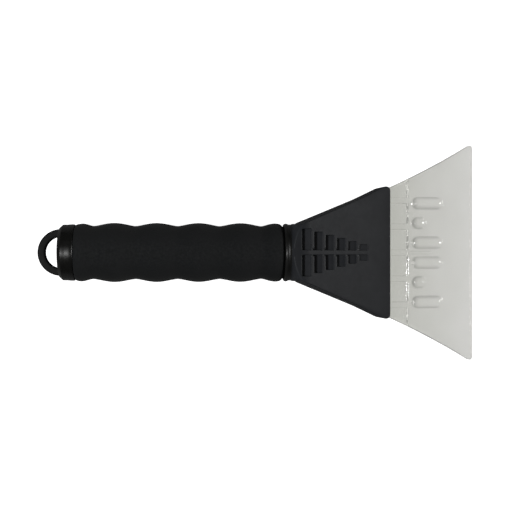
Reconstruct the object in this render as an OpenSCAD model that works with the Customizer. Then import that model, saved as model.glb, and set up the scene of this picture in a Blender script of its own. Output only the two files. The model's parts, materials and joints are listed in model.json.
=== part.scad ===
// Windshield ice scraper: a clear blade in a two-part moulded head, on a tube
// handle with a foam grip, an end cap and a hang loop.
// The handle axis runs along X with the blade at +X. The origin is at the middle
// of the whole tool, on the surface that its grip and blade edge rest on.

/* [Grip and handle] */
// Outside diameter at the foam's large bumps
grip_d = 30.6; // [29:0.1:34]
// Outside diameter in the foam's valleys
valley_d = 27.4; // [25:0.1:28.5]
// Distance between neighbouring large bumps
bump_pitch = 21.6; // [19:0.1:24]
// Number of large bumps, without the short one at each end
bumps = 4; // [3:1:5]
// Outside diameter of the handle tube
tube_d = 20; // [17:0.5:21]
// Wall thickness of the handle tube
tube_wall = 1.2; // [0.8:0.1:2]

/* [End cap and hang loop] */
// Outside diameter of the end cap
cap_d = 29.1; // [27:0.1:32]
// Length of the end cap outside the tube
cap_len = 7.9; // [7:0.1:12]
// Outside radius of the hang loop
loop_r = 12; // [11:0.1:12.4]
// Width of the loop's band, seen from above
loop_band = 4; // [3:0.1:5]
// Thickness of the loop's band
loop_t = 4.4; // [3:0.1:6]

/* [Head] */
// Length of the neck ring between the foam and the head
ring_len = 3.4; // [2.5:0.1:5]
// Diameter of the round neck
neck_d = 29.1; // [28:0.1:31]
// Distance from the neck ring's rear face to the head's front face
head_len = 56.2; // [52:0.1:64]
// Widest part of the head
head_w = 69.8; // [62:0.2:76]
// Height of the head at its front face
head_front_h = 12.6; // [11.5:0.1:16]
// Wall thickness of the head's shells
shell_wall = 2.2; // [1.6:0.1:2.4]

/* [Blade] */
// Distance from the neck ring's rear face to the scraping edge
blade_reach = 105.1; // [98:0.1:112]
// Width of the scraping edge
blade_w = 115.8; // [108:0.2:124]
// Thickness of the blade
blade_t = 3.6; // [3.2:0.1:4.4]
// Thickness left at the scraping edge
edge_t = 0.9; // [0.6:0.1:1.4]
// Height of the ice-breaking teeth above the blade
tooth_h = 1.9; // [1.2:0.1:2.4]

/* [Hidden] */
$fn = 96;
big = 200;

// Positions along the handle: x = 0 is the neck ring's rear face.
grip_front = 0;
front_bump = 11.5;
rear_bump = 9.2;
valley_front = grip_front - front_bump;
valley_rear = valley_front - bumps * bump_pitch;
grip_rear = valley_rear - rear_bump;
cap_front = grip_rear;
cap_rear = cap_front - cap_len;
loop_centre = cap_rear + 0.7;
tube_r = tube_d / 2;
bore_r = tube_r - tube_wall;
tube_rear = cap_front - 3;
tube_front = 12;
neck_r = neck_d / 2;

// The head bends down about this point, so that the scraping edge reaches the
// surface that the grip rests on.
bend_x = 8;
axis_z = grip_d / 2;
reach = blade_reach - bend_x;
cant = asin(axis_z / norm([reach, blade_t / 2])) - atan2(blade_t / 2, reach);

// Overall ends, for an origin at the middle of the tool.
edge_top = edge_t - blade_t / 2;
front_x = bend_x + reach * cos(cant) + edge_top * sin(cant);
rear_x = loop_centre - loop_r;
origin_x = -(front_x + rear_x) / 2;

// The tongue of the blade inside the head.
tongue_rear = 33;
tongue_top = 0.8;
tongue_bottom = -1.4;
tongue_rear_w = 42;
tongue_front_w = 61;

// Screws: one pair through the tongue, one pair behind it.
screw_r = 1.45;
screw_len = 10;
screw_head_r = 2.8;
screw_head_h = 2;
screw_seat = -4.5;
pilot_r = 1.5;
clear_r = 1.7;
counterbore_r = 3.1;
FRONT_SCREW = [46, 18];
REAR_SCREW = [20, 13.5];

// Places the handle's parts: x along the handle from the neck ring.
module handle_frame() {
    translate([origin_x, 0, axis_z]) children();
}

// Places the head's parts: the same x and z, bent down about bend_x.
module head_frame() {
    handle_frame()
        translate([bend_x, 0, 0])
        rotate([0, cant, 0])
        translate([-bend_x, 0, 0])
        children();
}

// The space that the handle tube fills.
module tube_space() {
    translate([tube_rear, 0, 0]) rotate([0, 90, 0]) cylinder(r = tube_r, h = tube_front - tube_rear);
}

// Turns a profile of [radius, x] points about the handle axis.
module turned(points) {
    rotate([0, 90, 0]) rotate_extrude() polygon(points);
}

// Extrudes an outline of [x, z] points across the tool, between two y values.
module across(points, y0, y1) {
    translate([0, y1, 0]) rotate([90, 0, 0]) linear_extrude(y1 - y0) polygon(points);
}

function arc(centre, r, from, to, steps) =
    [for (i = [0:steps]) let (a = from + (to - from) * i / steps) centre + r * [cos(a), sin(a)]];

function flipped(points) = [for (i = [len(points) - 1:-1:0]) [points[i][0], -points[i][1]]];

// ---------------------------------------------------------------- Blade

// Half the blade's side view width at x: the side edges are hollow arcs.
side_start = 24.5;
side_end = 32.5;
edge_corner_r = 1.9;
root_half = head_w / 2 - 1;
side_steps = 16;

function side_angle(i) = side_start + (side_end - side_start) * (i + 0.5) / side_steps;
function side_y(i) = i == 0 ? 0 : side_y(i - 1) + tan(side_angle(i - 1));
side_run = (blade_reach - head_len) / side_steps;
side_scale = (blade_w / 2 + 0.8 * edge_corner_r - root_half) / (side_y(side_steps) * side_run);

// The corner arc replaces the last step of the side edge.
function blade_side() = concat(
    [for (i = [0:side_steps - 2]) [head_len + i * side_run, root_half + side_y(i) * side_run * side_scale]],
    arc([blade_reach - edge_corner_r, blade_w / 2 - edge_corner_r], edge_corner_r, 90 + side_end, 0, 8));

module blade_outline() {
    polygon(concat(blade_side(), flipped(blade_side())));
}

// The step in the blade's top, the start of its taper and the edge bevel.
step_x = 68;
step_run = 1.3;
taper_x = 92;
bevel_len = 1.8;
bevel_t = 2.2;

module blade_plate() {
    top = blade_t / 2;
    bevel_x = blade_reach - bevel_len;
    intersection() {
        translate([0, 0, -top]) linear_extrude(blade_t) blade_outline();
        across([[head_len, -top], [blade_reach, -top], [blade_reach, edge_top],
                [bevel_x, bevel_t - top], [taper_x, top], [step_x, top],
                [step_x - step_run, tongue_top], [head_len, tongue_top]], -big, big);
    }
}

module blade_tongue() {
    translate([0, 0, tongue_bottom])
        linear_extrude(tongue_top - tongue_bottom)
        polygon([[tongue_rear, -tongue_rear_w / 2], [head_len, -tongue_front_w / 2],
                 [head_len, tongue_front_w / 2], [tongue_rear, tongue_rear_w / 2]]);
}

// Ribs from the head to the step, with the middle one running on between the teeth.
rib_w = 3;
rib_pitch = 13.85;
middle_rib_end = 80;
middle_rib_h = 0.5;

module blade_ribs() {
    for (k = [-2:2])
        translate([head_len, k * rib_pitch - rib_w / 2, 0])
            cube([step_x - head_len, rib_w, blade_t / 2]);
    translate([step_x - 1, -rib_w / 4, 0])
        cube([middle_rib_end - step_x + 1, rib_w / 2, blade_t / 2 + middle_rib_h]);
}

// Rounded ice-breaking teeth: [y, x of the tip].
tooth_w = 6.7;
tooth_pitch = 10.5;
tooth_rear = 69.5;
tooth_tips = [87, 77.5, 87];

module tooth(y, tip) {
    r = (tooth_w * tooth_w / 4 + tooth_h * tooth_h) / (2 * tooth_h);
    z = blade_t / 2 + tooth_h - r;
    inset = tooth_w / 2;
    intersection() {
        translate([tooth_rear + inset, y, z]) {
            rotate([0, 90, 0]) cylinder(r = r, h = tip - tooth_rear - tooth_w);
            sphere(r);
            translate([tip - tooth_rear - tooth_w, 0, 0]) sphere(r);
        }
        translate([tooth_rear - r, y - r, 0]) cube([tip - tooth_rear + 2 * r, 2 * r, big]);
    }
}

module blade_teeth() {
    for (k = [0:2], side = [-1, 1])
        tooth(side * (k + 0.5) * tooth_pitch, tooth_tips[k]);
}

module scraper_blade() {
    color([0.83, 0.84, 0.82, 0.5])
    head_frame()
    difference() {
        union() {
            blade_plate();
            blade_tongue();
            blade_ribs();
            blade_teeth();
        }
        for (side = [-1, 1])
            translate([FRONT_SCREW[0], side * FRONT_SCREW[1], -blade_t])
                cylinder(r = clear_r, h = 2 * blade_t);
    }
}

// ---------------------------------------------------------------- Head

// Half the head's height at x, hollow from the neck down to the front.
neck_half_h = neck_r - 0.25;
profile_power = 1.25;
profile_steps = 10;

function head_half_h(x) =
    head_front_h / 2
    + (neck_half_h - head_front_h / 2) * pow((head_len - x) / (head_len - bend_x), profile_power);

function bent(p) =
    [bend_x + (p[0] - bend_x) * cos(cant) + p[1] * sin(cant),
     p[1] * cos(cant) - (p[0] - bend_x) * sin(cant)];

// Side view of one half, side = 1 above the joint line and -1 below it, from
// x0 to x1. It is thinned by inset, and reaches past the joint line by past.
function half_side(side, x0, x1, inset, past) = concat(
    [bent([x0, -side * past]), bent([x1, -side * past])],
    [for (i = [profile_steps:-1:0])
        let (x = x0 + (x1 - x0) * i / profile_steps)
        bent([x, side * (head_half_h(x) - inset)])]);

// Half outline of the head from above, narrowed by inset. Its sides flare from
// the neck, a little more steeply near the front, and level off before it.
flare_x = 7;
flare_half_w = neck_r + 0.05;
flare_bend = [0.766, 0.741];
front_corner_r = 2.4;

function head_plan(inset) =
    let (w = head_w / 2 - inset,
         start = [flare_x, flare_half_w - inset],
         end = [head_len - 6.4, w - 1.6],
         corner = [head_len - front_corner_r, w - front_corner_r])
    concat(
        [[0, start[1]], start,
         [start[0] + flare_bend[0] * (end[0] - start[0]), start[1] + flare_bend[1] * (end[1] - start[1])],
         end, [head_len - 3.8, w - 0.3]],
        arc(corner, front_corner_r, 90, 0, 8));

module plan_solid(inset) {
    translate([0, 0, -big / 2])
        linear_extrude(big)
        polygon(concat(head_plan(inset), flipped(head_plan(inset))));
}

// One half of the head as a solid block: round at the neck, flat and wide in front.
cone_angle = 58;
cone_x = ring_len + 0.6;
cone_run = 8;

function neck_cone() =
    [[0, ring_len], [neck_r, ring_len], [neck_r, cone_x],
     [neck_r + cone_run * tan(cone_angle), cone_x + cone_run], [big, big / 2], [0, big / 2]];

module head_block(side) {
    neck_side = [[ring_len, side * neck_half_h], [ring_len, 0]];
    intersection() {
        head_frame() plan_solid(0);
        handle_frame()
            across(concat(half_side(side, bend_x, head_len, 0, 0), neck_side), -big, big);
        handle_frame() turned(neck_cone());
    }
}

// The hollow of one half.
hollow_rear = 15;
front_wall = 4.4;

module head_hollow(side) {
    intersection() {
        head_frame() plan_solid(shell_wall);
        handle_frame()
            across(half_side(side, hollow_rear, head_len - front_wall, shell_wall, 1), -big, big);
    }
}

// A thicker roof under the slots of the upper half.
relief_half_w = 12.8;
relief_roof = 4.4;

module relief_roof_block() {
    x0 = hollow_rear - 1;
    x1 = head_len - front_wall + 1;
    across(concat([[x1, big / 4], [x0, big / 4]],
                  [for (i = [0:profile_steps])
                      let (x = x0 + (x1 - x0) * i / profile_steps)
                      [x, head_half_h(x) - relief_roof]]),
           -relief_half_w, relief_half_w);
}

// What the hollow leaves standing: two ribs that hold the tongue, and the
// pillars around the screws.
stiffener_y = 8;
stiffener_w = 1.6;
boss_r = 3.5;
counterbore_wall = 1.4;

module stiffeners() {
    for (y = [-stiffener_y, stiffener_y])
        translate([0, y - stiffener_w / 2, -big / 2]) cube([head_len, stiffener_w, big]);
}

module screw_pillars(side) {
    r = side > 0 ? boss_r : counterbore_r + counterbore_wall;
    for (at = [FRONT_SCREW, REAR_SCREW], y = [-1, 1])
        translate([at[0], y * at[1], -big / 2]) cylinder(r = r, h = big);
}

module head_shell(side) {
    difference() {
        head_block(side);
        difference() {
            head_hollow(side);
            head_frame() {
                stiffeners();
                screw_pillars(side);
                if (side > 0) relief_roof_block();
            }
        }
        handle_frame() tube_space();
        head_frame() blade_tongue();
    }
}

// Saw-tooth slots in the head's top, each side of a plain spine. Each slot is
// deepest at its rear wall.
slots = 6;
slot_x = 6.8;
slot_pitch = 6.36;
slot_run = 4.4;
slot_front_share = 0.4;
spine_half_w = 1.25;

function slot_half_len(i) = 12 - 1.6 * i;
function slot_depth(i) = 2.6 - 0.06 * i * (i + 1);

module relief_slots() {
    head_frame() for (i = [0:slots - 1], side = [-1, 1]) {
        x0 = slot_x + i * slot_pitch;
        x1 = x0 + slot_run;
        y0 = side > 0 ? spine_half_w : -slot_half_len(i);
        across([[x0, head_half_h(x0) - slot_depth(i)],
                [x1, head_half_h(x1) - slot_front_share * slot_depth(i)],
                [x1, neck_r + 2], [x0, neck_r + 2]],
               y0, y0 + slot_half_len(i) - spine_half_w);
    }
}

module head_upper_shell() {
    color([0.16, 0.165, 0.175])
    difference() {
        head_shell(1);
        relief_slots();
        head_frame() for (at = [FRONT_SCREW, REAR_SCREW], y = [-1, 1])
            translate([at[0], y * at[1], -1]) cylinder(r = pilot_r, h = screw_len + screw_seat + 1.2);
    }
}

module head_lower_shell() {
    color([0.15, 0.155, 0.165])
    difference() {
        head_shell(-1);
        head_frame() for (at = [FRONT_SCREW, REAR_SCREW], y = [-1, 1])
            translate([at[0], y * at[1], screw_seat]) {
                cylinder(r = clear_r, h = big / 4);
                translate([0, 0, -big / 4]) cylinder(r = counterbore_r, h = big / 4);
            }
    }
}

// A pan-head self-tapping screw with a cross recess, driven from below.
module head_screw(at, side) {
    recess_w = 0.8;
    recess_len = 3.2;
    color([0.62, 0.62, 0.6])
    head_frame()
    translate([at[0], side * at[1], screw_seat])
    difference() {
        union() {
            cylinder(r = screw_r, h = screw_len - 1.6);
            translate([0, 0, screw_len - 1.6]) cylinder(r1 = screw_r, r2 = 0.4, h = 1.6);
            translate([0, 0, -screw_head_h]) cylinder(r1 = screw_head_r - 0.5, r2 = screw_head_r, h = 0.8);
            translate([0, 0, 0.8 - screw_head_h]) cylinder(r = screw_head_r, h = screw_head_h - 0.8);
        }
        for (turn = [0, 90])
            rotate([0, 0, turn])
            translate([-recess_len / 2, -recess_w / 2, -screw_head_h - 1])
            cube([recess_len, recess_w, 2.2]);
    }
}

// ---------------------------------------------------------------- Handle

ring_crest_r = neck_r + 0.5;

module neck_ring() {
    color([0.1, 0.1, 0.1])
    handle_frame()
    difference() {
        turned(concat([[0, 0], [ring_crest_r - 1.1, 0]],
                      [for (a = [-60:20:60]) [ring_crest_r - 1.2 + 1.2 * cos(a), 1.3 + 1.3 * sin(a)]],
                      [[neck_r - 0.05, ring_len - 0.1], [neck_r - 0.15, ring_len], [0, ring_len]]));
        tube_space();
    }
}

module handle_tube() {
    color([0.7, 0.71, 0.73])
    handle_frame()
    difference() {
        tube_space();
        translate([tube_rear - 1, 0, 0]) rotate([0, 90, 0]) cylinder(r = bore_r, h = big);
    }
}

// The foam's radius at x: full bumps in the middle, a shorter one at each end.
foam_steps = 10;
wave_power = 0.7;

function wave(t) = pow((1 - cos(360 * t)) / 2, wave_power);
function foam_r(x) = (valley_d + (grip_d - valley_d) * wave((valley_front - x) / bump_pitch)) / 2;

// Rounded end from the last valley to the foam's end, dir = 1 for the front.
function foam_end(valley, end, crest, dir) =
    let (len = abs(end - valley), rise = (crest - valley_d) / 2)
    [for (i = [1:foam_steps - 2])
        let (t = i / foam_steps)
        [valley_d / 2 + rise * wave(t * 0.8), valley + dir * len * t]];

module foam_grip() {
    front_crest = grip_d - 0.2;
    rear_crest = grip_d - 0.7;
    middle = [for (i = [0:bumps * foam_steps])
                 let (x = valley_rear + i * bump_pitch / foam_steps) [foam_r(x), x]];
    front = foam_end(valley_front, grip_front, front_crest, 1);
    rear = foam_end(valley_rear, grip_rear, rear_crest, -1);
    color([0.11, 0.115, 0.12])
    handle_frame()
    turned(concat([[tube_r, grip_rear], [valley_d / 2 - 0.6, grip_rear],
                   [valley_d / 2 + 0.2, grip_rear + 0.5]],
                  [for (i = [len(rear) - 1:-1:0]) rear[i]], middle, front,
                  [[valley_d / 2 + 0.2, grip_front - 0.5], [valley_d / 2 - 0.6, grip_front],
                   [tube_r, grip_front]]));
}

// The end cap: a chamfered disc with a cored spigot in the tube.
cap_chamfer = 1.8;
cap_round = 0.6;
cap_back = 2.4;
spigot_len = 15;
core_r = 6.5;
leg_depth = 4;

module loop_legs() {
    for (side = [-1, 1])
        translate([cap_rear, side * (loop_r - loop_band / 2) - loop_band / 2, -loop_t / 2])
            cube([leg_depth, loop_band, loop_t]);
}

module end_cap() {
    cap_r = cap_d / 2;
    color([0.07, 0.07, 0.07])
    handle_frame()
    difference() {
        turned(concat(
            [[0, cap_rear], [cap_r - cap_chamfer, cap_rear], [cap_r, cap_rear + cap_chamfer]],
            [for (a = [0:15:90])
                [cap_r - cap_round + cap_round * cos(a), cap_front - cap_round + cap_round * sin(a)]],
            [[tube_r, cap_front], [tube_r, tube_rear], [bore_r, tube_rear], [bore_r, cap_front + spigot_len],
             [core_r, cap_front + spigot_len], [core_r, cap_rear + cap_back], [0, cap_rear + cap_back]]));
        loop_legs();
    }
}

module hang_loop() {
    color([0.08, 0.08, 0.08])
    handle_frame() {
        loop_legs();
        translate([loop_centre, 0, -loop_t / 2])
            linear_extrude(loop_t)
            intersection() {
                difference() {
                    circle(loop_r);
                    circle(loop_r - loop_band);
                }
                translate([-big - (loop_centre - cap_rear), -big / 2]) square([big, big]);
            }
    }
}

scraper_blade();
head_upper_shell();
head_lower_shell();
head_screw(FRONT_SCREW, 1);  // head_screw_front_left
head_screw(FRONT_SCREW, -1);  // head_screw_front_right
head_screw(REAR_SCREW, 1);  // head_screw_rear_left
head_screw(REAR_SCREW, -1);  // head_screw_rear_right
neck_ring();
handle_tube();
foam_grip();
end_cap();
hang_loop();
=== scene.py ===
import json
import math

import bmesh
import bpy
from mathutils import Matrix, Vector, noise


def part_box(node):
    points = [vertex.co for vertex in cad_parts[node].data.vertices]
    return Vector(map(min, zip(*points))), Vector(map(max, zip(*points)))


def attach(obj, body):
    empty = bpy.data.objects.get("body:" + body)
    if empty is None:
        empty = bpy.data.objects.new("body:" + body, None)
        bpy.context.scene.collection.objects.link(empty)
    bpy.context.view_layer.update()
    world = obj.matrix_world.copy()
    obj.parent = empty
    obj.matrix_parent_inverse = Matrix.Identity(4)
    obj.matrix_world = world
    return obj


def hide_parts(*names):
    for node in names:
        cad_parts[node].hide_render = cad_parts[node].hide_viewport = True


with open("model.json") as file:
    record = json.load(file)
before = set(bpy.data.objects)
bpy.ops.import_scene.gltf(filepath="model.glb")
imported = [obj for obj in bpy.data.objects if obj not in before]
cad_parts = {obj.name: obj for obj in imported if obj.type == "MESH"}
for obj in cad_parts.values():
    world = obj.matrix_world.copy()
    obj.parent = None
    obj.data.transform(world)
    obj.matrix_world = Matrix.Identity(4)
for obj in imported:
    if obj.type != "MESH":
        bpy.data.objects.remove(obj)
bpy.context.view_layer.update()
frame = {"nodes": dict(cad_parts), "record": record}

MM = 0.001
BODY = "root"
RING_LO, RING_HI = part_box("neck_ring")
TUBE_LO, TUBE_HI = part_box("handle_tube")
FOAM_LO, FOAM_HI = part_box("foam_grip")
CAP_LO, CAP_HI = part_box("end_cap")
LOOP_LO, LOOP_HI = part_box("hang_loop")
AXIS = Vector((RING_LO.x, 0, (TUBE_LO.z + TUBE_HI.z) / 2))
MOUNTS = {m["name"]: m for m in frame["record"]["mounts"]}
CANT = math.asin(-MOUNTS["blade_underside"]["axis"][0])

# Where the head bends down, and the length of the bend each way.
BEND_X = 8
BEND_RUN = 2


# ---------------------------------------------------------------- Frames and curves


def handle_point(x, y, z):
    """A point on the handle, in the row frame."""
    return AXIS + MM * Vector((x, y, z))


def head_point(x, y, z):
    """A point on the head or the blade, in the row frame."""
    radius = BEND_RUN / math.tan(CANT / 2)
    turn = CANT * between((x - BEND_X + BEND_RUN) / (2 * BEND_RUN), 0, 1)
    before = min(x, BEND_X - BEND_RUN)
    after = max(0, x - BEND_X - BEND_RUN)
    along = before + radius * math.sin(turn) + after * math.cos(CANT) + z * math.sin(turn)
    up = -radius * (1 - math.cos(turn)) - after * math.sin(CANT) + z * math.cos(turn)
    return handle_point(along, y, up)


def between(value, low, high):
    return max(low, min(high, value))


def smooth_min(a, b, soft):
    """The lower of two values, blended where they are within soft of each other."""
    near = max(0, soft - abs(a - b)) / soft
    return min(a, b) - near * near * soft / 4


def smooth_max(a, b, soft):
    """The higher of two values, blended in the same way."""
    return -smooth_min(-a, -b, soft)


def along_line(x, points):
    """The height at x of a line through points, each (x, height), in order of x."""
    for (x0, h0), (x1, h1) in zip(points, points[1:]):
        if x <= x1:
            return h0 + (h1 - h0) * (x - x0) / (x1 - x0)
    return points[-1][1]


def spaced(marks, step):
    """The marks in order, with even lines between them that are at most step apart."""
    marks = sorted(set(round(m, 4) for m in marks))
    lines = marks[:1]
    for a, b in zip(marks, marks[1:]):
        count = max(1, math.ceil((b - a) / step - 0.001))
        lines += [a + (b - a) * i / count for i in range(1, count + 1)]
    return lines


def quarter(radius, steps):
    """Distances 0 to radius along the run of a quarter round, and how far it has dropped at each."""
    angles = [math.pi / 2 * i / steps for i in range(steps + 1)]
    return [(radius * math.sin(a), radius * (1 - math.cos(a))) for a in angles]


def end_drop(distance, radius):
    """How far a rounded edge has dropped, at a distance from its end."""
    run = between(radius - distance, 0, radius)
    return radius - math.sqrt(radius * radius - run * run)


def filleted(corners, step=math.radians(15)):
    """A closed outline of (x, y, fillet radius) corners, with the corners rounded."""
    outline = []
    for i, (x, y, radius) in enumerate(corners):
        here = Vector((x, y))
        to_last = (Vector(corners[i - 1][:2]) - here).normalized()
        to_next = (Vector(corners[(i + 1) % len(corners)][:2]) - here).normalized()
        opening = to_last.angle(to_next)
        if radius == 0 or opening > math.pi - 0.01:
            outline.append((x, y))
            continue
        centre = here + (to_last + to_next).normalized() * radius / math.sin(opening / 2)
        start = here + to_last * radius / math.tan(opening / 2) - centre
        turn = math.copysign(math.pi - opening, -to_last.cross(to_next))
        count = max(2, math.ceil(abs(turn) / step))
        for k in range(count + 1):
            outline.append(tuple(centre + Matrix.Rotation(turn * k / count, 2) @ start))
    return outline


# ---------------------------------------------------------------- Meshes


def mesh_object(name, verts, faces):
    """A closed mesh object from points in the row frame."""
    mesh = bpy.data.meshes.new(name)
    mesh.from_pydata([tuple(v) for v in verts], [], faces)
    shape = bmesh.new()
    shape.from_mesh(mesh)
    bmesh.ops.remove_doubles(shape, verts=shape.verts, dist=0.002 * MM)
    bmesh.ops.recalc_face_normals(shape, faces=shape.faces)
    if shape.calc_volume(signed=True) < 0:
        bmesh.ops.reverse_faces(shape, faces=shape.faces)
    shape.to_mesh(mesh)
    shape.free()
    obj = bpy.data.objects.new(name, mesh)
    bpy.context.scene.collection.objects.link(obj)
    return obj


def lofted(rows):
    """Points and faces of a solid through rows, which are closed loops of as many points each."""
    size = len(rows[0])
    verts = [point for row in rows for point in row]
    faces = [tuple(range(size)), tuple(range(len(verts) - size, len(verts)))]
    for r in range(len(rows) - 1):
        for i in range(size):
            j = (i + 1) % size
            faces.append((r * size + i, r * size + j, (r + 1) * size + j, (r + 1) * size + i))
    return verts, faces


def turned(profile, segments=128, shape=None):
    """Points and faces of a closed profile of (x, radius) turned about the handle axis."""
    verts = []
    for k in range(segments):
        angle = 2 * math.pi * k / segments
        for x, radius in profile:
            if shape:
                x, radius = shape(x, radius, angle)
            verts.append(handle_point(x, radius * math.cos(angle), radius * math.sin(angle)))
    size = len(profile)
    faces = []
    for k in range(segments):
        here, there = k * size, (k + 1) % segments * size
        for i in range(size):
            j = (i + 1) % size
            faces.append((here + i, here + j, there + j, there + i))
    return verts, faces


def upright(x, y, profile, point, segments=32):
    """Points and faces of (radius, z) rings turned about an upright line at x, y."""
    rows = []
    for radius, z in profile:
        angles = [2 * math.pi * k / segments for k in range(segments)]
        rows.append([point(x + radius * math.cos(a), y + radius * math.sin(a), z) for a in angles])
    return lofted(rows)


def block(x0, x1, y0, y1, z0, z1, point):
    """Points and faces of a box."""
    loop = [(y0, z0), (y1, z0), (y1, z1), (y0, z1)]
    return lofted([[point(x, y, z) for y, z in loop] for x in (x0, x1)])


def merged(solids):
    """Points and faces of several solids that don't touch, as one."""
    verts, faces = [], []
    for more_verts, more_faces in solids:
        faces += [tuple(i + len(verts) for i in face) for face in more_faces]
        verts += more_verts
    return verts, faces


def carve(obj, solid):
    """Cuts a solid out of a mesh object."""
    cutter = mesh_object("cutter", *solid)
    modifier = obj.modifiers.new("cut", "BOOLEAN")
    modifier.operation = "DIFFERENCE"
    modifier.solver = "EXACT"
    modifier.object = cutter
    cut = bpy.data.meshes.new_from_object(obj.evaluated_get(bpy.context.evaluated_depsgraph_get()))
    obj.modifiers.clear()
    obj.data = cut
    bpy.data.objects.remove(cutter)


def finish_piece(obj, node, material, sharp_angle=40):
    """Makes a mesh the visible piece for a CAD node."""
    obj.data.materials.clear()
    obj.data.materials.append(material)
    obj.data.shade_smooth()
    obj.data.set_sharp_from_angle(angle=math.radians(sharp_angle))
    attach(obj, BODY)
    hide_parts(node)
    return obj


# ---------------------------------------------------------------- Materials


def new_material(name, colour, roughness, **sockets):
    """A material with a Principled shader, and the shader and its node tree."""
    material = bpy.data.materials.new(name)
    material.use_nodes = True
    tree = material.node_tree
    shader = tree.nodes["Principled BSDF"]
    shader.inputs["Base Color"].default_value = (*colour, 1)
    shader.inputs["Roughness"].default_value = roughness
    for socket, value in sockets.items():
        shader.inputs[socket.replace("_", " ")].default_value = value
    return material, tree, shader


def add_noise(tree, size_mm, detail=2, stretch=(1, 1, 1)):
    """A noise texture with features of about size_mm, and its output."""
    place = tree.nodes.new("ShaderNodeTexCoord")
    mapping = tree.nodes.new("ShaderNodeMapping")
    mapping.inputs["Scale"].default_value = stretch
    texture = tree.nodes.new("ShaderNodeTexNoise")
    texture.inputs["Scale"].default_value = 1 / (size_mm * MM)
    texture.inputs["Detail"].default_value = detail
    tree.links.new(place.outputs["Object"], mapping.inputs["Vector"])
    tree.links.new(mapping.outputs["Vector"], texture.inputs["Vector"])
    return texture.outputs["Fac"]


def add_cells(tree, size_mm):
    """The distance to the nearest cell's middle, in cells of about size_mm."""
    place = tree.nodes.new("ShaderNodeTexCoord")
    texture = tree.nodes.new("ShaderNodeTexVoronoi")
    texture.inputs["Scale"].default_value = 1 / (size_mm * MM)
    tree.links.new(place.outputs["Object"], texture.inputs["Vector"])
    return texture.outputs["Distance"]


def vary(tree, source, socket, low, high):
    """Drives a value socket between low and high."""
    ranged = tree.nodes.new("ShaderNodeMapRange")
    ranged.inputs["From Min"].default_value = 0.3
    ranged.inputs["From Max"].default_value = 0.7
    ranged.inputs["To Min"].default_value = low
    ranged.inputs["To Max"].default_value = high
    tree.links.new(source, ranged.inputs["Value"])
    tree.links.new(ranged.outputs["Result"], socket)


def vary_colour(tree, source, socket, dark, light):
    """Drives a colour socket between two colours."""
    ramp = tree.nodes.new("ShaderNodeValToRGB")
    ramp.color_ramp.elements[0].position = 0.3
    ramp.color_ramp.elements[1].position = 0.7
    ramp.color_ramp.elements[0].color = (*dark, 1)
    ramp.color_ramp.elements[1].color = (*light, 1)
    tree.links.new(source, ramp.inputs["Fac"])
    tree.links.new(ramp.outputs["Color"], socket)


def add_bump(tree, shader, source, depth_mm, strength=1):
    """Gives the surface a relief of depth_mm."""
    bump = tree.nodes.new("ShaderNodeBump")
    bump.inputs["Distance"].default_value = depth_mm * MM
    bump.inputs["Strength"].default_value = strength
    tree.links.new(source, bump.inputs["Height"])
    tree.links.new(bump.outputs["Normal"], shader.inputs["Normal"])


# The blade's tint lightens from its rear towards its front edge, between these two places, in metres
# along X.
TINT_REAR = 0.068
TINT_FRONT = 0.114
TINT_SHARES = (0.2, 0.6)
TINT_CLOUDS = 0.2
TINT_DARK = (0.47, 0.472, 0.437)
TINT_LIGHT = (0.575, 0.573, 0.555)


def clear_plastic():
    """The blade's clear plastic, slightly frosted by wear."""
    material, tree, shader = new_material(
        "clear_plastic", (0.5, 0.49, 0.47), 0.08, Transmission_Weight=1.0, IOR=1.5)
    place = tree.nodes.new("ShaderNodeTexCoord")
    parts = tree.nodes.new("ShaderNodeSeparateXYZ")
    tree.links.new(place.outputs["Object"], parts.inputs["Vector"])
    # The tint's share grows steadily from the blade's rear to its front, along X only.
    toward_front = tree.nodes.new("ShaderNodeMapRange")
    toward_front.inputs["From Min"].default_value = TINT_REAR
    toward_front.inputs["From Max"].default_value = TINT_FRONT
    toward_front.inputs["To Min"].default_value = TINT_SHARES[0]
    toward_front.inputs["To Max"].default_value = TINT_SHARES[1]
    tree.links.new(parts.outputs["X"], toward_front.inputs["Value"])
    cloud = tree.nodes.new("ShaderNodeMath")
    cloud.operation = "MULTIPLY_ADD"
    cloud.inputs[1].default_value = TINT_CLOUDS
    tree.links.new(add_noise(tree, 14), cloud.inputs[0])
    tree.links.new(toward_front.outputs["Result"], cloud.inputs[2])
    vary_colour(tree, cloud.outputs["Value"], shader.inputs["Base Color"], TINT_DARK, TINT_LIGHT)
    vary(tree, add_noise(tree, 0.6, stretch=(1, 8, 1)), shader.inputs["Roughness"], 0.06, 0.12)
    return material


def head_plastic():
    """The head's satin black plastic, with a fine grain."""
    material, tree, shader = new_material(
        "head_plastic", (0.0275, 0.029, 0.033), 0.46, Specular_IOR_Level=0.145)
    vary_colour(tree, add_noise(tree, 9), shader.inputs["Base Color"],
                (0.0245, 0.026, 0.0295), (0.0305, 0.0325, 0.0368))
    vary(tree, add_noise(tree, 2.5, 4), shader.inputs["Roughness"], 0.42, 0.52)
    add_bump(tree, shader, add_noise(tree, 0.18), 0.012)
    return material


def smooth_plastic(name, colour, roughness, specular):
    """A moulded black plastic, from its darkest colour."""
    material, tree, shader = new_material(name, colour, roughness, Specular_IOR_Level=specular)
    lighter = tuple(c * 1.25 for c in colour)
    vary_colour(tree, add_noise(tree, 6), shader.inputs["Base Color"], colour, lighter)
    vary(tree, add_noise(tree, 1.5, 3), shader.inputs["Roughness"], roughness - 0.03, roughness + 0.05)
    add_bump(tree, shader, add_noise(tree, 0.5), 0.004)
    return material


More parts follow.
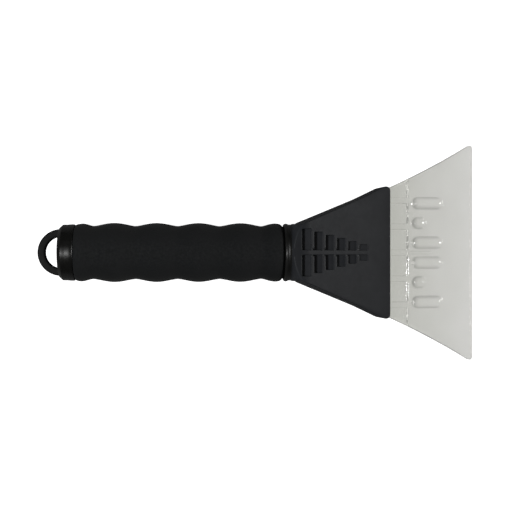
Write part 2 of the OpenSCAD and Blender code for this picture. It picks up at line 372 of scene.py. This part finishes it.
def foam():
    """The grip's dull foam, with fine cells."""
    material, tree, shader = new_material(
        "foam", (0.0073, 0.0078, 0.0082), 0.9,
        Specular_IOR_Level=0.3, Sheen_Weight=0.04, Sheen_Roughness=0.5)
    vary_colour(tree, add_noise(tree, 5, 4), shader.inputs["Base Color"],
                (0.0053, 0.0062, 0.0068), (0.0071, 0.008, 0.0087))
    vary(tree, add_noise(tree, 1.2), shader.inputs["Roughness"], 0.82, 0.97)
    add_bump(tree, shader, add_cells(tree, 0.45), 0.045, 0.7)
    return material


def metal(name, colour, roughness, stretch):
    """A bare metal with a fine grain, which stretch can draw out."""
    material, tree, shader = new_material(name, colour, roughness, Metallic=1.0)
    darker = tuple(c * 0.86 for c in colour)
    grain = add_noise(tree, 0.4, 3, stretch)
    vary_colour(tree, grain, shader.inputs["Base Color"], darker, colour)
    vary(tree, grain, shader.inputs["Roughness"], roughness - 0.06, roughness + 0.08)
    add_bump(tree, shader, grain, 0.004)
    return material


# ---------------------------------------------------------------- Blade

BLADE_REACH = 105.1
BLADE_HALF_W = 57.9
BLADE_HALF_T = 1.8
HEAD_LEN = 56.2
ROOT_HALF_W = 33.9
TONGUE_REAR = 33
TONGUE_REAR_HALF_W = 21
TONGUE_FRONT_HALF_W = 30.5
TONGUE_TOP = 0.8
TONGUE_BOTTOM = -1.4
STEP_X = 68
STEP_RUN = 1.3
ROOT_RUN = 0.15
TAPER_X = 92
BEVEL_LEN = 1.8
BEVEL_TOP = 0.4
EDGE_TOP = -0.9
CORNER_R = 1.9
BLADE_EDGE_R = 0.3
# The sides' lines reach this far out at the front edge, before their corners are rounded.
SIDE_TIP_HALF_W = BLADE_HALF_W + 0.8 * CORNER_R
SIDE_START = math.radians(24.5)
SIDE_END = math.radians(32.5)
RIB_HALF_W = 1.5
RIB_PITCH = 13.85
RIB_DRAFT = 0.12
MIDDLE_RIB_START = STEP_X - 1
MIDDLE_RIB_END = 80
MIDDLE_RIB_RAMP = 0.4
MIDDLE_RIB_HALF_W = 0.75
MIDDLE_RIB_TOP = 2.3
TOOTH_PITCH = 10.5
TOOTH_HALF_W = 3.35
TOOTH_H = 1.9
TOOTH_REAR = 69.5
TOOTH_TIPS = (87, 77.5, 87)
TOOTH_BLEND = 0.25
TEETH_END = 88
TOOTH_R = (TOOTH_HALF_W ** 2 + TOOTH_H ** 2) / (2 * TOOTH_H)
FRONT_SCREW = (46, 18)
REAR_SCREW = (20, 13.5)
# Columns are at fixed places across the blade this far out, and follow its sides beyond.
FIXED_HALF_W = 30.8
SIDE_COLUMNS = 8


def side_climb(share):
    """How far the blade's hollow side has moved out, by share of its length."""
    steps = 24
    total = [0]
    for i in range(steps):
        total.append(total[-1] + math.tan(SIDE_START + (SIDE_END - SIDE_START) * (i + 0.5) / steps))
    return along_line(share * steps, list(enumerate(total))) / total[-1]


def blade_half_w(x):
    """Half the width of the blade, or of its tongue inside the head."""
    if x < HEAD_LEN:
        share = (x - TONGUE_REAR) / (HEAD_LEN - TONGUE_REAR)
        return TONGUE_REAR_HALF_W + (TONGUE_FRONT_HALF_W - TONGUE_REAR_HALF_W) * share
    climb = side_climb((x - HEAD_LEN) / (BLADE_REACH - HEAD_LEN))
    side = ROOT_HALF_W + (SIDE_TIP_HALF_W - ROOT_HALF_W) * climb
    return min(side, BLADE_HALF_W - end_drop(BLADE_REACH - x, CORNER_R))


def wall(distance, draft):
    """1 inside a wall, 0 outside, and a straight slope of width 2 * draft across it."""
    return between(0.5 - distance / (2 * draft), 0, 1)


def tooth_top(x, y):
    """The surface of the nearest ice-breaking tooth."""
    k = min(2, int(abs(y) / TOOTH_PITCH))
    middle = (k + 0.5) * TOOTH_PITCH
    nearest = between(x, TOOTH_REAR + TOOTH_HALF_W, TOOTH_TIPS[k] - TOOTH_HALF_W)
    distance = math.hypot(x - nearest, abs(y) - middle)
    if distance >= TOOTH_R:
        return -BLADE_HALF_T
    return BLADE_HALF_T + TOOTH_H - TOOTH_R + math.sqrt(TOOTH_R ** 2 - distance ** 2)


BLADE_PROFILE = [(TONGUE_REAR, TONGUE_TOP), (STEP_X - STEP_RUN, TONGUE_TOP), (STEP_X, BLADE_HALF_T),
                 (TAPER_X, BLADE_HALF_T), (BLADE_REACH - BEVEL_LEN, BEVEL_TOP), (BLADE_REACH, EDGE_TOP)]


def blade_top(x, y):
    """The height of the blade's upper side, with its ribs and teeth."""
    z = along_line(x, BLADE_PROFILE)
    if STEP_X - STEP_RUN < x < STEP_X:
        share = (x - STEP_X + STEP_RUN) / STEP_RUN
        z = TONGUE_TOP + (BLADE_HALF_T - TONGUE_TOP) * share * share * (3 - 2 * share)
    if HEAD_LEN <= x <= STEP_X:
        nearest = between(round(y / RIB_PITCH), -2, 2) * RIB_PITCH
        z += (BLADE_HALF_T - z) * wall(abs(y - nearest) - RIB_HALF_W, RIB_DRAFT)
    if MIDDLE_RIB_START < x < MIDDLE_RIB_END:
        ramp = between(min(MIDDLE_RIB_END - x, x - MIDDLE_RIB_START) / MIDDLE_RIB_RAMP, 0, 1)
        z += (MIDDLE_RIB_TOP - z) * wall(abs(y) - MIDDLE_RIB_HALF_W, RIB_DRAFT) * ramp
    if x > STEP_X:
        z = smooth_max(z, tooth_top(x, y), TOOTH_BLEND)
    return z


def blade_columns():
    """Places across the blade, half of them, with lines at the walls of the ribs."""
    marks = [0, FIXED_HALF_W, MIDDLE_RIB_HALF_W - RIB_DRAFT, MIDDLE_RIB_HALF_W + RIB_DRAFT]
    for k in range(3):
        for side in (-1, 1):
            edge = k * RIB_PITCH + side * RIB_HALF_W
            marks += [m for m in (edge - RIB_DRAFT, edge + RIB_DRAFT) if 0 < m < FIXED_HALF_W]
    return spaced(marks, 0.45)


def blade_rows():
    """Places along the blade, with lines at its creases and a quarter round at each end."""
    front = [BLADE_REACH - CORNER_R + run for run, _ in quarter(CORNER_R, 10)]
    tip = [BLADE_REACH - BLADE_EDGE_R + run for run, _ in quarter(BLADE_EDGE_R, 4)]
    rear = [TONGUE_REAR + BLADE_EDGE_R - run for run, _ in quarter(BLADE_EDGE_R, 4)]
    tongue = spaced(rear + [HEAD_LEN - ROOT_RUN], 3)
    waist = spaced([HEAD_LEN, STEP_X - STEP_RUN], 1)
    rib_start = [MIDDLE_RIB_START, MIDDLE_RIB_START + MIDDLE_RIB_RAMP]
    step = spaced([STEP_X - STEP_RUN] + rib_start + [STEP_X], 0.12)
    teeth = spaced([STEP_X, MIDDLE_RIB_END - MIDDLE_RIB_RAMP, MIDDLE_RIB_END, TEETH_END], 0.45)
    nose = spaced([TEETH_END, TAPER_X, BLADE_REACH - BEVEL_LEN] + front + tip, 1.2)
    return sorted(set(tongue + waist + step + teeth + nose))


def blade_loop(x, columns):
    """The closed section of the blade at x."""
    inset = max(end_drop(x - TONGUE_REAR, BLADE_EDGE_R), end_drop(BLADE_REACH - x, BLADE_EDGE_R))
    flank = blade_half_w(x) - BLADE_EDGE_R - inset
    bottom = (TONGUE_BOTTOM if x < HEAD_LEN else -BLADE_HALF_T) + inset
    reach = max(flank, ROOT_HALF_W - BLADE_EDGE_R)
    half = columns + [FIXED_HALF_W + (reach - FIXED_HALF_W) * (i + 1) / SIDE_COLUMNS
                      for i in range(SIDE_COLUMNS)]
    half = [y * flank / reach for y in half]
    across = [-y for y in reversed(half[1:])] + half
    top = [(y, blade_top(x, y) - inset) for y in across]
    left, right = top[0], top[-1]
    arc = quarter(BLADE_EDGE_R, 4)[1:]
    loop = [(left[0] - run, left[1] - drop) for run, drop in reversed(arc)] + top
    loop += [(right[0] + run, right[1] - drop) for run, drop in arc]
    loop += [(flank + run, bottom + drop) for run, drop in reversed(arc)]
    loop += [(y, bottom) for y in reversed(across)]
    loop += [(-flank - run, bottom + drop) for run, drop in arc]
    return [head_point(x, y, z) for y, z in loop]


def make_blade():
    columns = blade_columns()
    obj = mesh_object("blade", *lofted([blade_loop(x, columns) for x in blade_rows()]))
    x, y = FRONT_SCREW
    hole = [(CLEAR_R, 2 * TONGUE_BOTTOM), (CLEAR_R, -2 * TONGUE_BOTTOM)]
    carve(obj, merged([upright(x, side * y, hole, head_point) for side in (-1, 1)]))
    return finish_piece(obj, "scraper_blade", clear_plastic(), 35)


# ---------------------------------------------------------------- Head

NECK_R = 14.55
NECK_HALF_H = 14.3
NECK_END = 4
NECK_SPREAD = math.tan(math.radians(58))
NECK_SOFT = 0.3
NECK_BLEND = 2.2
NECK_BLEND_RUN = 4
NECK_RISE = 0.2
RING_LEN = (RING_HI.x - RING_LO.x) / MM
FRONT_HALF_H = 6.3
PROFILE_POWER = 1.25
# The head's outline, as (x, half width), softened over a short window.
PLAN = [(0, 14.9), (4, 14.9), (7, 14.6), (39.8, 28.45), (49.8, 33.3), (52.4, 34.6), (HEAD_LEN, 34.9)]
PLAN_WINDOW = (-0.8, -0.4, 0, 0.4, 0.8)
FRONT_CORNER_R = 2.4
HEAD_EDGE_R = 0.4
PARTING = 0.2
FINE = 0.6
COARSE = 1.2
TOP_STEPS = 10
SIDE_STEPS = 12
SLOTS = 6
SLOT_X = 6.8
SLOT_PITCH = 6.36
SLOT_RUN = 4.4
SLOT_FRONT_SHARE = 0.4
SLOT_HALF_LEN = 12
SLOT_SHORTER = 1.6
SLOT_DEPTH = 2.6
SLOT_SHALLOWER = 0.06
FIRST_SLOT_LAG = 0.9
SPINE_HALF_W = 1.25
FOOT_LEN = 1.2
FOOT_W = 0.6
FOOT_DEPTH = 0.9
RIM_R = 0.25
SLOT_WALL = 0.06
SLOT_ZONE = 12.6


def head_half_h(x):
    """Half the height of the head."""
    if x <= BEND_X:
        return NECK_HALF_H + NECK_RISE * (BEND_X - x)
    share = (HEAD_LEN - x) / (HEAD_LEN - BEND_X)
    return FRONT_HALF_H + (NECK_HALF_H - FRONT_HALF_H) * share ** PROFILE_POWER


def head_half_w(x):
    """Half the width of the head, with its front corners rounded."""
    near = [along_line(between(x + d, 0, HEAD_LEN), PLAN) for d in PLAN_WINDOW]
    side = sum(near) / len(near)
    return side - end_drop(HEAD_LEN - x, FRONT_CORNER_R)


def slot_ends(i):
    """Where a slot starts and ends. The first starts later, since the bend stretches the top there."""
    start = SLOT_X + i * SLOT_PITCH
    return start + (FIRST_SLOT_LAG if i == 0 else 0), start + SLOT_RUN


def slot_half_len(i):
    return SLOT_HALF_LEN - SLOT_SHORTER * i


def slot_depth(i):
    return SLOT_DEPTH - SLOT_SHALLOWER * i * (i + 1)


def rim_drop(outside, depth):
    """The drop of a slot's rounded rim, at a distance outside its opening."""
    if outside >= RIM_R:
        return 0
    if outside > 0:
        return end_drop(outside, RIM_R)
    return RIM_R + depth * min(1, -outside / SLOT_WALL)


def outside_of(x, y, x0, x1, y0, y1):
    """The distance outside a rectangle, below 0 inside it."""
    dx = max(x0 - x, x - x1)
    dy = max(y0 - y, y - y1)
    if dx > 0 and dy > 0:
        return math.hypot(dx, dy)
    return max(dx, dy)


def slot_drop(x, y):
    """How far the saw-tooth slots lower the head's top."""
    y = abs(y)
    drop = 0
    for i in range(SLOTS):
        x0, x1 = slot_ends(i)
        depth = slot_depth(i)
        opening = outside_of(x, y, x0, x1, SPINE_HALF_W, slot_half_len(i))
        full = depth * (1 - (1 - SLOT_FRONT_SHARE) * between((x - x0) / (x1 - x0), 0, 1))
        drop = max(drop, min(full, rim_drop(opening, depth)))
        foot = outside_of(x, y, x0 - FOOT_LEN, x0, SPINE_HALF_W, SPINE_HALF_W + FOOT_W)
        ramp = FOOT_DEPTH * depth / SLOT_DEPTH * between((x - x0 + FOOT_LEN) / FOOT_LEN, 0, 1)
        if i > 0 and x < x0:
            drop = max(drop, min(ramp, rim_drop(foot, depth)))
    return drop


def head_columns():
    """Places across the head's slots, one side of the spine."""
    marks = [0, SLOT_ZONE]
    inner = SPINE_HALF_W
    marks += [inner - RIM_R + run for run, _ in quarter(RIM_R, 3)] + [inner + SLOT_WALL]
    outer = [slot_half_len(i) for i in range(SLOTS)] + [SPINE_HALF_W + FOOT_W]
    for edge in outer:
        marks += [edge + RIM_R - run for run, _ in quarter(RIM_R, 3)] + [edge - SLOT_WALL]
    return spaced(marks, FINE)


def head_rows(fine):
    """Places along the head, with lines at the slots if fine."""
    front = [HEAD_LEN - FRONT_CORNER_R + run for run, _ in quarter(FRONT_CORNER_R, 12)]
    neck = spaced([RING_LEN, NECK_END, BEND_X], 0.4)
    if not fine:
        return spaced(neck + spaced([BEND_X, HEAD_LEN - FRONT_CORNER_R], COARSE) + front, COARSE)
    marks = []
    for i in range(SLOTS):
        x0, x1 = slot_ends(i)
        marks += [x0 - RIM_R + run for run, _ in quarter(RIM_R, 3)] + [x0 + SLOT_WALL, x0 - FOOT_LEN]
        marks += [x1 + RIM_R - run for run, _ in quarter(RIM_R, 3)] + [x1 - SLOT_WALL]
    return spaced(neck + marks + front, FINE)


def head_loop(side, x, columns, drop_at):
    """The closed section of one half of the head at x; side is 1 above the joint line and -1 below."""
    inset = end_drop(HEAD_LEN - x, HEAD_EDGE_R)
    half_w = head_half_w(x) - inset
    half_h = head_half_h(x) - inset
    trim = NECK_R + max(0, x - NECK_END) * NECK_SPREAD
    soft = NECK_SOFT + NECK_BLEND * between((x - NECK_END) / NECK_BLEND_RUN, 0, 1)
    flank = half_w - HEAD_EDGE_R
    half = [(y, half_h - drop_at(x, y)) for y in columns]
    last = columns[-1]
    half += [(last + (flank - last) * (i + 1) / TOP_STEPS, half_h) for i in range(TOP_STEPS)]
    half += [(flank + run, half_h - drop) for run, drop in quarter(HEAD_EDGE_R, 5)[1:]]
    shoulder = half_h - HEAD_EDGE_R
    half += [(half_w, PARTING + (shoulder - PARTING) * (1 - (i + 1) / SIDE_STEPS))
             for i in range(SIDE_STEPS)]
    half += [(half_w - PARTING, 0)]
    loop = []
    for y, z in half:
        reach = math.hypot(y, z)
        shrink = smooth_min(reach, trim, soft) / reach
        loop.append((y * shrink, z * shrink * side))
    whole = [(-y, z) for y, z in reversed(loop[1:])] + loop
    return [head_point(x, y, z) for y, z in whole]


# The hollow inside the two shells, and what stands in it.
SHELL_WALL = 2.2
HOLLOW_REAR = 15
FRONT_WALL = 4.4
RELIEF_HALF_W = 12.8
RELIEF_ROOF = 4.4
STIFFENER_Y = 8
STIFFENER_HALF_W = 0.8
UPPER_BOSS_R = 3.5
LOWER_BOSS_R = 4.5
PILOT_R = 1.5
CLEAR_R = 1.7
COUNTERBORE_R = 3.1
SCREW_SEAT = -4.5
PILOT_TOP = 5.7
TUBE_R = (TUBE_HI.z - TUBE_LO.z) / 2 / MM
TUBE_REACH = (TUBE_HI.x - RING_LO.x) / MM
TONGUE_GAP = 0.05
# Cutters reach this far up and down, which is beyond the head.
FAR = 20


def head_hollow(side):
    """A mesh object of the hollow of one half, less the ribs and pillars that stand in it."""
    rows = []
    for x in spaced([HOLLOW_REAR, HEAD_LEN - FRONT_WALL], 3):
        half_w = head_half_w(x) - SHELL_WALL
        roof = head_half_h(x) - SHELL_WALL
        middle = head_half_h(x) - (RELIEF_ROOF if side > 0 else SHELL_WALL)
        half = [(RELIEF_HALF_W, middle), (RELIEF_HALF_W + 0.1, roof), (half_w, roof), (half_w, -1)]
        loop = [(-y, z) for y, z in reversed(half)] + half
        rows.append([head_point(x, y, side * z) for y, z in loop])
    hollow = mesh_object("hollow", *lofted(rows))
    standing = [block(0, HEAD_LEN, y - STIFFENER_HALF_W, y + STIFFENER_HALF_W, -FAR, FAR, head_point)
                for y in (-STIFFENER_Y, STIFFENER_Y)]
    boss_r = UPPER_BOSS_R if side > 0 else LOWER_BOSS_R
    standing += [upright(x, y * s, [(boss_r, -FAR), (boss_r, FAR)], head_point)
                 for x, y in (FRONT_SCREW, REAR_SCREW) for s in (-1, 1)]
    carve(hollow, merged(standing))
    return hollow


def solid_of(obj):
    """Points and faces of a mesh object, which is then removed."""
    verts = [v.co.copy() for v in obj.data.vertices]
    faces = [tuple(p.vertices) for p in obj.data.polygons]
    bpy.data.objects.remove(obj)
    return verts, faces


def tongue_space():
    """The pocket that the blade's tongue fills."""
    rows = []
    for x in (TONGUE_REAR - TONGUE_GAP, HEAD_LEN + 1):
        half_w = blade_half_w(min(x, HEAD_LEN - 0.01)) + TONGUE_GAP
        low, high = TONGUE_BOTTOM - TONGUE_GAP, TONGUE_TOP + TONGUE_GAP
        loop = [(-half_w, low), (half_w, low), (half_w, high), (-half_w, high)]
        rows.append([head_point(x, y, z) for y, z in loop])
    return lofted(rows)


def tube_socket():
    """The bore that the handle tube fills."""
    return turned([(-1, 0), (-1, TUBE_R), (TUBE_REACH, TUBE_R), (TUBE_REACH, 0)], 96)


def screw_holes(side):
    """Pilot holes in the upper half, and counterbored holes in the lower one."""
    if side > 0:
        profile = [(PILOT_R, -1), (PILOT_R, PILOT_TOP)]
    else:
        profile = [(COUNTERBORE_R, -FAR), (COUNTERBORE_R, SCREW_SEAT),
                   (CLEAR_R, SCREW_SEAT), (CLEAR_R, 1)]
    return merged([upright(x, y * s, profile, head_point, 40)
                   for x, y in (FRONT_SCREW, REAR_SCREW) for s in (-1, 1)])


def make_head_half(side, name, node, material):
    """One shell of the head: side is 1 for the upper and -1 for the lower."""
    columns = head_columns() if side > 0 else spaced([0, SLOT_ZONE], COARSE)
    drop_at = slot_drop if side > 0 else lambda x, y: 0
    rows = [head_loop(side, x, columns, drop_at) for x in head_rows(side > 0)]
    obj = mesh_object(name, *lofted(rows))
    carve(obj, solid_of(head_hollow(side)))
    carve(obj, tube_socket())
    carve(obj, tongue_space())
    carve(obj, screw_holes(side))
    return finish_piece(obj, node, material, 42)


# ---------------------------------------------------------------- Handle

RING_CREST_R = NECK_R + 0.5
VALLEY_R = 13.7
GRIP_R = (FOAM_HI.z - FOAM_LO.z) / 2 / MM
BUMP_PITCH = 21.6
BUMPS = 4
WAVE_POWER = 0.7
# Each end bump is this share of a whole one, cut short by the foam's end.
END_BUMP_SHARE = 0.8
FRONT_BUMP = 11.5
REAR_BUMP = 9.2
FRONT_CREST_R = GRIP_R - 0.1
REAR_CREST_R = GRIP_R - 0.35
FOAM_FRONT = (FOAM_HI.x - RING_LO.x) / MM
FOAM_REAR = (FOAM_LO.x - RING_LO.x) / MM
FOAM_FRONT_ROUND = 2.6
FOAM_REAR_ROUND = 0.9
FOAM_SKEW = 0.75
UNEVEN_DEPTH = 0.05
UNEVEN_RUN = 16
UNEVEN_TURNS = 1.6
CAP_R = (CAP_HI.y - CAP_LO.y) / 2 / MM
CAP_REAR = (CAP_LO.x - RING_LO.x) / MM
CAP_FRONT = FOAM_REAR
CAP_CHAMFER = 1.8
CAP_CROWN = 0.2
CAP_CROWN_START = 3.8
CAP_CREST = 6.2
CAP_ROUND = 0.6
CAP_BACK = 2.4
SPIGOT_LEN = 15
CORE_R = 6.5
BORE_R = 8.8
LOOP_REAR = (LOOP_LO.x - RING_LO.x) / MM
LOOP_R = (LOOP_HI.y - LOOP_LO.y) / 2 / MM
LOOP_HALF_T = (LOOP_HI.z - LOOP_LO.z) / 2 / MM
LOOP_BAND = 4
LOOP_ROUND = 1
LEG_DEPTH = 4
LEG_GAP = 0.12


def make_ring():
    crest = RING_CREST_R
    profile = filleted([
        (0, TUBE_R, 0), (0, crest, 1.1), (1.5, crest, 0.8),
        (RING_LEN - 0.8, NECK_R, 0.9), (RING_LEN, NECK_R, 0.05), (RING_LEN, TUBE_R, 0)])
    obj = mesh_object("ring", *turned(profile))
    material = smooth_plastic("ring_plastic", (0.01, 0.01, 0.0095), 0.32, 0.4)
    return finish_piece(obj, "neck_ring", material)


def foam_radius(x):
    """The foam's outside radius: full bumps in the middle, and a shorter rounded one at each end."""
    valley_front = FOAM_FRONT - FRONT_BUMP
    valley_rear = valley_front - BUMPS * BUMP_PITCH
    if x > valley_front:
        turn = END_BUMP_SHARE * (x - valley_front) / FRONT_BUMP
        crest = FRONT_CREST_R
        cut = end_drop(FOAM_FRONT - x, FOAM_FRONT_ROUND)
    elif x < valley_rear:
        turn = END_BUMP_SHARE * (valley_rear - x) / REAR_BUMP
        crest = REAR_CREST_R
        cut = end_drop(x - FOAM_REAR, FOAM_REAR_ROUND)
    else:
        turn = (valley_front - x) / BUMP_PITCH
        crest = GRIP_R
        cut = 0
    wave = ((1 - math.cos(2 * math.pi * turn)) / 2) ** WAVE_POWER
    return VALLEY_R + (crest - VALLEY_R) * wave - cut


def foam_shape(x, radius, angle):
    """Leans the rearmost bump a little, and makes the foam slightly uneven."""
    if radius <= TUBE_R + 0.1:
        return x, radius
    near_rear = between((FOAM_REAR + REAR_BUMP + BUMP_PITCH / 2 - x) / BUMP_PITCH, 0, 1)
    inside = between((x - FOAM_REAR) / 3, 0, 1)
    lean = FOAM_SKEW * near_rear * inside * math.cos(angle)
    radius = min(radius, foam_radius(between(x - lean, FOAM_REAR, FOAM_FRONT)))
    at = Vector((x / UNEVEN_RUN, UNEVEN_TURNS * math.cos(angle), UNEVEN_TURNS * math.sin(angle)))
    return x, radius - UNEVEN_DEPTH * (1 + noise.noise(at))


def make_foam():
    front = [FOAM_FRONT - FOAM_FRONT_ROUND + run for run, _ in quarter(FOAM_FRONT_ROUND, 9)]
    rear = [FOAM_REAR + FOAM_REAR_ROUND - run for run, _ in quarter(FOAM_REAR_ROUND, 7)]
    places = spaced(rear + front, 0.7)
    profile = [(FOAM_REAR, TUBE_R)] + [(x, foam_radius(x)) for x in places] + [(FOAM_FRONT, TUBE_R)]
    obj = mesh_object("foam", *turned(profile, 144, foam_shape))
    finish_piece(obj, "foam_grip", foam(), 60)
    return obj


def loop_path():
    """Points and outward normals along the middle of the loop's band."""
    radius = LOOP_R - LOOP_BAND / 2
    centre = LOOP_REAR + LOOP_R
    path = [((CAP_REAR + LEG_DEPTH, radius), (0, 1))]
    steps = 40
    for k in range(steps + 1):
        angle = math.pi / 2 + math.pi * k / steps
        normal = (math.cos(angle), math.sin(angle))
        path.append(((centre + radius * normal[0], radius * normal[1]), normal))
    return path + [((CAP_REAR + LEG_DEPTH, -radius), (0, -1))]


def loop_solid(grow):
    """Points and faces of the hang loop, made bigger all round by grow."""
    half_band, half_t = LOOP_BAND / 2 + grow, LOOP_HALF_T + grow
    section = filleted([(-half_band, -half_t, LOOP_ROUND), (half_band, -half_t, LOOP_ROUND),
                        (half_band, half_t, LOOP_ROUND), (-half_band, half_t, LOOP_ROUND)])
    rows = [[handle_point(x + nx * out, y + ny * out, up) for out, up in section]
            for (x, y), (nx, ny) in loop_path()]
    return lofted(rows)


def make_loop():
    obj = mesh_object("loop", *loop_solid(0))
    material = smooth_plastic("loop_plastic", (0.006, 0.006, 0.006), 0.62, 0.15)
    return finish_piece(obj, "hang_loop", material)


def make_cap():
    tube_rear = (TUBE_LO.x - RING_LO.x) / MM
    outside = [
        (CAP_REAR, 0, 0), (CAP_REAR, CAP_R - CAP_CHAMFER, 0.35),
        (CAP_REAR + CAP_CHAMFER, CAP_R - CAP_CROWN, 0.1),
        (CAP_REAR + CAP_CROWN_START, CAP_R - CAP_CROWN, 6), (CAP_REAR + CAP_CREST, CAP_R, 6),
        (CAP_FRONT, CAP_R - 0.1, CAP_ROUND), (CAP_FRONT, TUBE_R, 0)]
    spigot = [
        (tube_rear, TUBE_R, 0), (tube_rear, BORE_R, 0),
        (CAP_FRONT + SPIGOT_LEN, BORE_R, 0.4), (CAP_FRONT + SPIGOT_LEN, CORE_R, 0.4),
        (CAP_REAR + CAP_BACK, CORE_R, 0), (CAP_REAR + CAP_BACK, 0, 0)]
    obj = mesh_object("cap", *turned(filleted(outside + spigot)))
    carve(obj, loop_solid(LEG_GAP))
    material = smooth_plastic("cap_plastic", (0.0045, 0.0045, 0.004), 0.27, 0.45)
    return finish_piece(obj, "end_cap", material)


def finish_metal_nodes():
    """Gives the carried-over tube and screws their metals."""
    tube = metal("tube_metal", (0.72, 0.73, 0.75), 0.3, (0.05, 1, 1))
    screw = metal("screw_steel", (0.58, 0.57, 0.54), 0.28, (1, 1, 1))
    for name, obj in frame["nodes"].items():
        if name == "handle_tube" or name.startswith("head_screw"):
            obj.material_slots[0].material = tube if name == "handle_tube" else screw


# ---------------------------------------------------------------- Stage

FLOOR_HALF = 6.0
FLOOR_DROP = 0.0003
FLOOR_COLOUR = (0.6, 0.6, 0.6)
FLOOR_REFLECTED = (0.2, 0.2, 0.2)
# How white the floor is through the clear blade, by the slant that it is seen at. Rays that the
# teeth's edges bend aside meet a dimmer floor, which draws the teeth's grey outlines.
FLOOR_GLOW = ((0.04, 1), (0.21, 0.55), (0.45, 0.9))
WORLD_SEEN = 1
WORLD_LIGHT = 0.05
CAMERA_HEIGHT = 0.5
CAMERA_FOOT = (-0.0316, -0.0018)
CAMERA_TILT = math.radians(3.274)
CAMERA_LENS = 67.72


def make_floor():
    """A plain floor that is white to the camera, and lights the object less than it shows."""
    signs = ((-1, -1), (1, -1), (1, 1), (-1, 1))
    corners = [(x * FLOOR_HALF, y * FLOOR_HALF, -FLOOR_DROP) for x, y in signs]
    mesh = bpy.data.meshes.new("floor")
    mesh.from_pydata(corners, [], [(0, 1, 2, 3)])
    floor = bpy.data.objects.new("floor", mesh)
    bpy.context.scene.collection.objects.link(floor)
    material, tree, shader = new_material("floor_white", FLOOR_COLOUR, 0.9, Emission_Color=(1, 1, 1, 1))
    seen = tree.nodes.new("ShaderNodeLightPath")
    slant = tree.nodes.new("ShaderNodeLayerWeight")
    through = tree.nodes.new("ShaderNodeValToRGB")
    through.color_ramp.elements.new(0.5)
    for stop, (slanted, white) in zip(through.color_ramp.elements, FLOOR_GLOW):
        stop.position = slanted
        stop.color = (white, white, white, 1)
    tree.links.new(slant.outputs["Facing"], through.inputs["Fac"])
    glow = tree.nodes.new("ShaderNodeMath")
    glow.operation = "MULTIPLY_ADD"
    tree.links.new(seen.outputs["Is Transmission Ray"], glow.inputs[0])
    tree.links.new(through.outputs["Color"], glow.inputs[1])
    tree.links.new(seen.outputs["Is Camera Ray"], glow.inputs[2])
    tree.links.new(glow.outputs["Value"], shader.inputs["Emission Strength"])
    shade = tree.nodes.new("ShaderNodeMix")
    shade.data_type = "RGBA"
    shade.inputs["A"].default_value = (*FLOOR_REFLECTED, 1)
    shade.inputs["B"].default_value = (*FLOOR_COLOUR, 1)
    tree.links.new(seen.outputs["Is Camera Ray"], shade.inputs["Factor"])
    tree.links.new(shade.outputs["Result"], shader.inputs["Base Color"])
    mesh.materials.append(material)


def add_area_light(name, place, size, power):
    """An area light that faces the origin."""
    data = bpy.data.lights.new(name, "AREA")
    data.shape = "RECTANGLE"
    data.size, data.size_y = size
    data.energy = power
    light = bpy.data.objects.new(name, data)
    light.location = place
    light.rotation_euler = (-Vector(place)).to_track_quat("-Z", "Y").to_euler()
    bpy.context.scene.collection.objects.link(light)
    return light


def make_studio():
    """The world, the lights and the camera."""
    scene = bpy.context.scene
    scene.view_settings.view_transform = "Standard"
    world = bpy.data.worlds.new("studio")
    world.use_nodes = True
    tree = world.node_tree
    background = tree.nodes["Background"]
    background.inputs["Color"].default_value = (1, 1, 1, 1)
    seen = tree.nodes.new("ShaderNodeLightPath")
    direct = tree.nodes.new("ShaderNodeMath")
    direct.operation = "MAXIMUM"
    strength = tree.nodes.new("ShaderNodeMapRange")
    strength.inputs["To Min"].default_value = WORLD_LIGHT
    strength.inputs["To Max"].default_value = WORLD_SEEN
    tree.links.new(seen.outputs["Is Camera Ray"], direct.inputs[0])
    tree.links.new(seen.outputs["Is Transmission Ray"], direct.inputs[1])
    tree.links.new(direct.outputs["Value"], strength.inputs["Value"])
    tree.links.new(strength.outputs["Result"], background.inputs["Strength"])
    scene.world = world
    add_area_light("key_light", (-0.42, -0.03, 0.62), (0.055, 0.12), 2.9)
    add_area_light("fill_light", (-0.3, -0.16, 1.2), (0.22, 0.3), 0.5)
    gloss = add_area_light("gloss_light", (1.2, 0.1, 0.55), (0.45, 0.55), 11)
    gloss.visible_diffuse = False
    data = bpy.data.cameras.new("camera")
    data.lens = CAMERA_LENS
    camera = bpy.data.objects.new("camera", data)
    camera.location = (*CAMERA_FOOT, AXIS.z + CAMERA_HEIGHT)
    camera.rotation_euler = (0, -CAMERA_TILT, 0)
    scene.collection.objects.link(camera)
    scene.camera = camera


make_studio()
make_floor()
make_blade()
black_shell = head_plastic()
make_head_half(1, "head_upper", "head_upper_shell", black_shell)
make_head_half(-1, "head_lower", "head_lower_shell", black_shell)
make_ring()
make_foam()
make_cap()
make_loop()
finish_metal_nodes()
